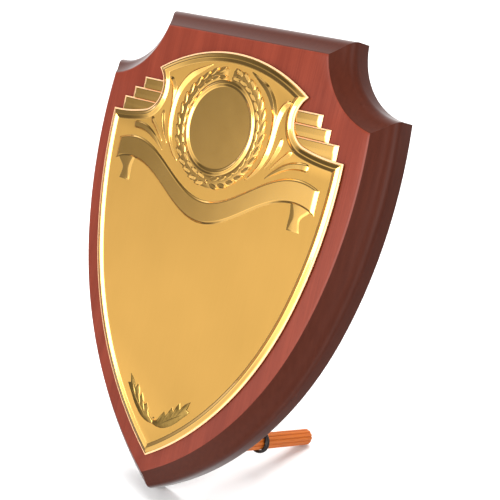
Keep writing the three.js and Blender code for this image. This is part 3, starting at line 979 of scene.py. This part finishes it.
def ribbonBand():
    shape = newShape()
    half, end, count = ribbon["halfWidth"], ribbon["end"], ribbon["segments"]
    edge = supported(ribbon["edge"], *ribbon["support"])
    section = [(-half + inset, rise) for inset, rise in edge]
    section += [(half - inset, rise) for inset, rise in reversed(edge)]
    inner = end - ribbon["fall"][-1][0]
    falls = supported(ribbon["fall"], *ribbon["support"])[:-1]
    stations = [(inset - end, rise) for inset, rise in falls]
    stations += [(-inner + 2 * inner * i / count, 1) for i in range(count + 1)]
    stations += [(end - inset, rise) for inset, rise in reversed(falls)]
    rings = []
    for x, fall in stations:
        ups = [(across, ribbon["height"] * min(rise, fall) - footing["edge"]) for across, rise in section]
        ring = []
        for across, up in [(-half, -footing["deep"])] + ups + [(half, -footing["deep"])]:
            # the ends are bowed outwards a little
            towardsEnd = max(0, (abs(x) - inner) / (end - inner))
            bow = ribbon["bow"] * (1 - (across / half) ** 2) * towardsEnd
            spot = x - math.copysign(bow, x)
            ring.append((spot, ribbonLine(x) + across, plate["fieldLevel"] + up))
        rings.append(ring)
    skin(shape, rings, paint=golds["relief"])
    return shape


tail = {
    "outer": [(62.8, -64), (60.6, -66.4), (58.5, -68.1), (57.4, -69.6), (57.5, -71.6), (58.5, -75)],
    "outerTop": [(61.4, -63.6), (59.2, -65.5), (57.2, -67.2), (56.1, -69.2), (56.2, -71.4), (57, -74.3)],
    "outerSegments": 14,
    "inner": [(51, -75), (50.8, -72), (50.8, -69), (50.6, -66.5), (50, -63.5)],
    "innerTop": [(52.1, -74.3), (53, -71.6), (53.8, -69.3), (53.4, -67), (51.8, -63.5)],
    "innerSegments": 12,
    "height": 0.22,
    # share of the way from the foot to the top, and of the height
    "edge": [(0, 0), (0.08, 0.05), (0.2, 0.2), (0.75, 0.85), (0.88, 0.96), (1, 1)],
}


def ribbonTails():
    # folded-under ends of the ribbon
    def chain(name, count):
        return smoothPath([Vector(p) for p in tail[name]], count)[0]

    shape = newShape()
    level = plate["fieldLevel"]
    foot = chain("outer", tail["outerSegments"]) + chain("inner", tail["innerSegments"])
    top = chain("outerTop", tail["outerSegments"]) + chain("innerTop", tail["innerSegments"])
    rings = [[(*a, level - footing["deep"]) for a in foot]]
    for share, rise in tail["edge"]:
        z = level - footing["edge"] + tail["height"] * rise
        rings.append([(*(a + (b - a) * share), z) for a, b in zip(foot, top)])
    skin(shape, rings, paint=golds["relief"])
    return mirrored(shape)


def newTree(name, inputs):
    # a Geometry Nodes tree with named inputs, and those inputs as signals
    tree = bpy.data.node_groups.new(name, "GeometryNodeTree")
    tree.interface.new_socket(name="Geometry", in_out="OUTPUT", socket_type="NodeSocketGeometry")
    for word, kind in inputs.items():
        tree.interface.new_socket(name=word, in_out="INPUT", socket_type="NodeSocket" + kind)
    nodes = Nodes(tree)
    given = nodes.add("NodeGroupInput")
    return tree, nodes, {word: Signal(nodes, given.outputs[word]) for word in inputs}


def closeTree(nodes, geometry, material):
    solid = nodes.signal("GeometryNodeRealizeInstances", {}, {"Geometry": geometry})
    painted = nodes.signal("GeometryNodeSetMaterial", {}, {"Geometry": solid, "Material": material})
    nodes.add("NodeGroupOutput", {}, {0: painted})


def runTree(tree, mesh, values, paint=0):
    # runs a node tree on a mesh and returns a shape
    obj = addObject("bench", mesh)
    modifier = obj.modifiers.new("nodes", "NODES")
    modifier.node_group = tree
    for item in tree.interface.items_tree:
        if item.in_out == "INPUT" and item.name in values:
            modifier[item.identifier] = values[item.name]
    bpy.context.view_layer.update()
    evaluated = obj.evaluated_get(bpy.context.evaluated_depsgraph_get())
    made = bpy.data.meshes.new_from_object(evaluated)
    shape = newShape()
    shape["points"] = [tuple(v.co) for v in made.vertices]
    shape["faces"] = [list(p.vertices) for p in made.polygons]
    shape["paints"] = [paint] * len(shape["faces"])
    bpy.data.objects.remove(obj)
    bpy.data.meshes.remove(made)
    return shape


wreath = {
    "leaves": 15,
    "radius": 24.15,
    "start": -86,
    "sweep": 158,
    "arcSegments": 96,
    "rows": [(-0.9, -0.2, 0.3), (1.0, 0.27, 0.33)],  # offset, splay, lift
    "leafLength": 6.2,
    "leafHalfWidth": 1.2,
    "leafHeight": 0.36,
    "leafSpacing": 0.4,
    # share of the length, of the width and of the height: each leaf climbs towards its tip
    "leafStations": [
        (0, 0.14, 0), (0.1, 0.55, 0.45), (0.3, 0.95, 0.6), (0.55, 1, 0.8), (0.82, 0.55, 1), (1, 0.1, 0.3),
    ],
    "wobble": 0.07,
    "seed": 7,
    "knot": (0, -65.2, 1.6, 1.1),
}


def leafMesh():
    shape = newShape()
    long, half, high = wreath["leafLength"], wreath["leafHalfWidth"], wreath["leafHeight"]
    crest = [(long * a, 0, half * b, half * b, high * c) for a, b, c in wreath["leafStations"]]
    addBlade(shape, "flat", crest, 0, spacing=wreath["leafSpacing"])
    mesh = bpy.data.meshes.new("laurelLeaf")
    mesh.from_pydata(shape["points"], [], shape["faces"])
    return mesh


def wreathTree():
    # leaves along an arc, each turned out from it and shaken a little
    tree, nodes, given = newTree("laurelRow", {
        "Leaf": "Geometry", "Leaves": "Int", "Radius": "Float", "Start": "Float", "Sweep": "Float",
        "Splay": "Float", "Lift": "Float", "Wobble": "Float", "Seed": "Int", "Material": "Material",
    })
    arc = nodes.signal("GeometryNodeCurveArc", {"mode": "RADIUS"}, {
        "Resolution": wreath["arcSegments"], "Radius": given["Radius"],
        "Start Angle": given["Start"], "Sweep Angle": given["Sweep"],
    })
    sockets = {"Curve": arc, "Count": given["Leaves"]}
    points = nodes.add("GeometryNodeCurveToPoints", {"mode": "COUNT"}, sockets)
    along = nodes.signal(
        "FunctionNodeAlignRotationToVector", {"axis": "X", "pivot_axis": "Z"},
        {"Vector": points.outputs["Tangent"]},
    )
    placed = nodes.signal("GeometryNodeInstanceOnPoints", {}, {
        "Points": points.outputs["Points"], "Instance": given["Leaf"], "Rotation": along,
    })
    chance = nodes.signal(
        "FunctionNodeRandomValue", {"data_type": "FLOAT"},
        {2: given["Wobble"] * -1, 3: given["Wobble"], "Seed": given["Seed"]}, output=1,
    )
    turn = nodes.signal("ShaderNodeCombineXYZ", {}, {"Z": chance + given["Splay"]})
    turned = nodes.signal("GeometryNodeRotateInstances", {}, {"Instances": placed, "Rotation": turn})
    lift = nodes.signal("ShaderNodeCombineXYZ", {}, {"Z": given["Lift"]})
    lifted = nodes.signal("GeometryNodeTranslateInstances", {}, {"Instances": turned, "Translation": lift})
    closeTree(nodes, lifted, given["Material"])
    return tree


def laurelWreath():
    tree = wreathTree()
    shape = newShape()
    for number, (offset, splay, lift) in enumerate(wreath["rows"]):
        row = runTree(tree, leafMesh(), {
            "Leaves": wreath["leaves"],
            "Radius": wreath["radius"] + offset,
            "Start": math.radians(wreath["start"]),
            "Sweep": math.radians(wreath["sweep"]),
            "Splay": -splay,
            "Lift": lift,
            "Wobble": wreath["wobble"],
            "Seed": wreath["seed"] + number,
            "Material": finishes["relief"],
        }, golds["relief"])
        merge(shape, row)
    drop, level = medallion["drop"], plate["fieldLevel"]
    shape["points"] = [(x, y - drop, z + level) for x, y, z in shape["points"]]
    mirrored(shape)
    addBead(shape, *wreath["knot"])
    return shape


def buildPlate():
    whole = plateBody()
    for part in (stepBars, medallionFrame, reliefLeaves, ribbonBand, ribbonTails, laurelWreath):
        merge(whole, part())
    # it is stuck on a little askew
    askew = (
        standUp
        @ Matrix.Translation((plate["shift"], -plate["middle"], 0))
        @ Matrix.Rotation(plate["turn"], 4, "Z")
        @ Matrix.Translation((0, plate["middle"], 0))
    )
    obj = makePiece("embossedPlate", whole, [finishes[name] for name in golds], plate["sharp"], askew)
    handOver(obj, "shield_plate")


buildPlate()
print("plate made")


# fluted dowels and their rubber rings
dowel = {
    "radius": 4.0,
    "inner": -6.5,
    "outer": -89.0,
    "chamfer": 0.9,
    "chamferCurve": 1.6,
    "flutes": 12.0,
    "depth": 0.5,
    "fluteCurve": 5,
    "rings": 184,
    "segments": 144,
    "sharp": 40,
}


def dowelTree():
    # a rod along z, with flutes between rounded lands and chamfered ends
    tree, nodes, given = newTree("flutedDowel", {
        "Geometry": "Geometry", "Radius": "Float", "Inner": "Float", "Outer": "Float",
        "Chamfer": "Float", "Flutes": "Float", "Depth": "Float", "Material": "Material",
    })
    start = nodes.signal("ShaderNodeCombineXYZ", {}, {"Z": given["Outer"]})
    end = nodes.signal("ShaderNodeCombineXYZ", {}, {"Z": given["Inner"]})
    line = nodes.signal("GeometryNodeCurvePrimitiveLine", {"mode": "POINTS"}, {"Start": start, "End": end})
    spaced = nodes.signal("GeometryNodeResampleCurve", {}, {"Curve": line, "Count": dowel["rings"]})
    ring = nodes.signal("GeometryNodeCurvePrimitiveCircle", {"mode": "RADIUS"}, {
        "Resolution": dowel["segments"], "Radius": given["Radius"],
    })
    swept = nodes.signal("GeometryNodeCurveToMesh", {}, {
        "Curve": spaced, "Profile Curve": ring, "Fill Caps": True,
    })
    place = nodes.signal("GeometryNodeInputPosition")
    spot = nodes.add("ShaderNodeSeparateXYZ", {}, {"Vector": place})
    x, y, z = (Signal(nodes, out) for out in spot.outputs)
    angle = y.maths("ARCTAN2", x)
    wave = (angle * given["Flutes"] + math.pi / 2).maths("COSINE") * 0.5 + 0.5
    groove = wave ** dowel["fluteCurve"] * given["Depth"]
    toEnd = (z - given["Outer"]).maths("MINIMUM", given["Inner"] - z)
    short = ((given["Chamfer"] - toEnd) / given["Chamfer"]).limited()
    cut = short ** dowel["chamferCurve"] * given["Chamfer"]
    scale = 1 - (groove + cut) / given["Radius"]
    moved = nodes.signal("ShaderNodeCombineXYZ", {}, {"X": x * scale, "Y": y * scale, "Z": z})
    fluted = nodes.signal("GeometryNodeSetPosition", {}, {"Geometry": swept, "Position": moved})
    closeTree(nodes, fluted, given["Material"])
    return tree


rubberRing = {
    "inner": 4.12,
    "thickness": 1.65,
    "width": 3,
    "at": -52.4,
    "segments": 72,
    "sectionSegments": 20,
    "sharp": 60,
}


def ringShape():
    shape = newShape()
    halfThick, halfWidth = rubberRing["thickness"] / 2, rubberRing["width"] / 2
    count = rubberRing["sectionSegments"]
    rings = []
    for a in (2 * math.pi * i / count for i in range(count + 1)):
        radius = rubberRing["inner"] + halfThick * (1 + math.cos(a))
        z = rubberRing["at"] + halfWidth * math.sin(a)
        rings.append([(x, y, z) for x, y in circle(radius, rubberRing["segments"])])
    skin(shape, rings, closeStart=False, closeEnd=False)
    return shape


def buildFeet():
    inputs = ("Radius", "Inner", "Outer", "Chamfer", "Flutes", "Depth")
    values = {word: dowel[word.lower()] for word in inputs}
    rod = runTree(dowelTree(), bpy.data.meshes.new("start"), {**values, "Material": finishes["beech"]})
    ring = ringShape()
    for side, word in ((-1, "left"), (1, "right")):
        place = standUp @ Matrix.Translation((side * board["holeSpacing"] / 2, board["holeHeight"], 0))
        foot = makePiece("flutedDowel_" + word, rod, [finishes["beech"]], dowel["sharp"], place)
        handOver(foot, "dowel_foot_" + word)
        band = makePiece("rubberRing_" + word, ring, [finishes["rubber"]], rubberRing["sharp"], place)
        handOver(band, "rubber_ring_" + word)


buildFeet()
print("feet made")


# floor, world and lights
studio = {
    "floor": (0.92, 0.92, 0.92),
    "floorRoughness": 0.9,
    "floorSize": 8,
    "shownSky": 1.0,
    "darkest": 0.3,
    # how much of the rest of the brightness comes back, by bearing in degrees from the front
    "rises": [
        ((-49.2, -46.5), 0.17), ((-45.5, -39.5), 0.94), ((-36, -26), 1.2), ((-78, -105), 2.9),
        ((5, 35), -1.7), ((76, 84), 3.4), ((98, 108), -3.8), ((112, 140), 0.4), ((-138, -165), -2.2),
    ],
    # heights in degrees over which it fades, upwards and downwards, and how far
    "fades": [((32, 62), 0.42), ((10, 19), 0.25), ((-4, -18), 0.5)],
    "key": {
        "bearing": 12, "height": 0.8, "distance": 1.7, "size": (1.4, 1.15), "watts": 27,
        "aim": Vector((0, 0, 0.12)),
    },
    "overhead": {"lean": Vector((-0.15, 0.25, 1)), "angle": 50, "strength": 4},
}


def layFloor():
    size = studio["floorSize"]
    mesh = bpy.data.meshes.new("floor")
    corners = [(-size, -size, 0), (size, -size, 0), (size, size, 0), (-size, size, 0)]
    mesh.from_pydata(corners, [], [(0, 1, 2, 3)])
    floor = addObject("floor", mesh)
    floor.visible_glossy = False
    material, nodes = newMaterial("paleFloor")
    sockets = {"Base Color": (*studio["floor"], 1), "Roughness": studio["floorRoughness"]}
    mesh.materials.append(finished(material, nodes, sockets))


def worldLevel(nodes):
    ray = nodes.add("ShaderNodeTexCoord").outputs["Generated"]
    parts = nodes.add("ShaderNodeSeparateXYZ", {}, {"Vector": ray})
    x, y, z = (Signal(nodes, out) for out in parts.outputs)
    bearing = x.maths("ARCTAN2", y * -1) * (180 / math.pi)
    height = z.maths("ARCSINE") * (180 / math.pi)

    def rise(value, ends):
        return nodes.signal(
            "ShaderNodeMapRange", {"interpolation_type": "SMOOTHSTEP"},
            {"Value": value, "From Min": ends[0], "From Max": ends[1]},
        )

    bright = sum((rise(bearing, ends) * weight for ends, weight in studio["rises"]), 0.0)
    dimmed = 1.0
    for ends, drop in studio["fades"]:
        dimmed = dimmed - rise(height, ends) * drop
    return (studio["darkest"] + bright * (1 - studio["darkest"])) * dimmed


def lightWorld():
    # the camera sees plain white, and everything else a studio that is darker to the left
    world = bpy.data.worlds.new("studioWorld")
    bpy.context.scene.world = world
    world.use_nodes = True
    world.node_tree.nodes.clear()
    nodes = Nodes(world.node_tree)
    lit, plain = (
        nodes.signal("ShaderNodeBackground", {}, {"Color": (1, 1, 1, 1), "Strength": strength})
        for strength in (worldLevel(nodes), studio["shownSky"])
    )
    path = nodes.add("ShaderNodeLightPath")
    sockets = {0: path.outputs["Is Camera Ray"], 1: lit, 2: plain}
    shown = nodes.signal("ShaderNodeMixShader", {}, sockets)
    nodes.add("ShaderNodeOutputWorld", {}, {"Surface": shown})


def aimLamp(name, data, towards):
    lamp = addObject(name, data)
    lamp.rotation_mode = "QUATERNION"
    lamp.rotation_quaternion = towards.to_track_quat("-Z", "Y")
    return lamp


def hangLamps():
    key = studio["key"]
    data = bpy.data.lights.new("softbox", "AREA")
    data.shape = "RECTANGLE"
    data.size, data.size_y = key["size"]
    data.energy = key["watts"]
    turn = math.radians(key["bearing"])
    at = Vector((math.sin(turn) * key["distance"], -math.cos(turn) * key["distance"], key["height"]))
    softbox = aimLamp("softbox", data, key["aim"] - at)
    softbox.location = at
    softbox.visible_camera = False

    overhead = studio["overhead"]
    data = bpy.data.lights.new("overhead", "SUN")
    data.angle = math.radians(overhead["angle"])
    data.energy = overhead["strength"]
    aimLamp("overhead", data, -overhead["lean"]).visible_glossy = False


layFloor()
lightWorld()
hangLamps()
bpy.context.scene.view_settings.view_transform = "Standard"
print("studio lit")
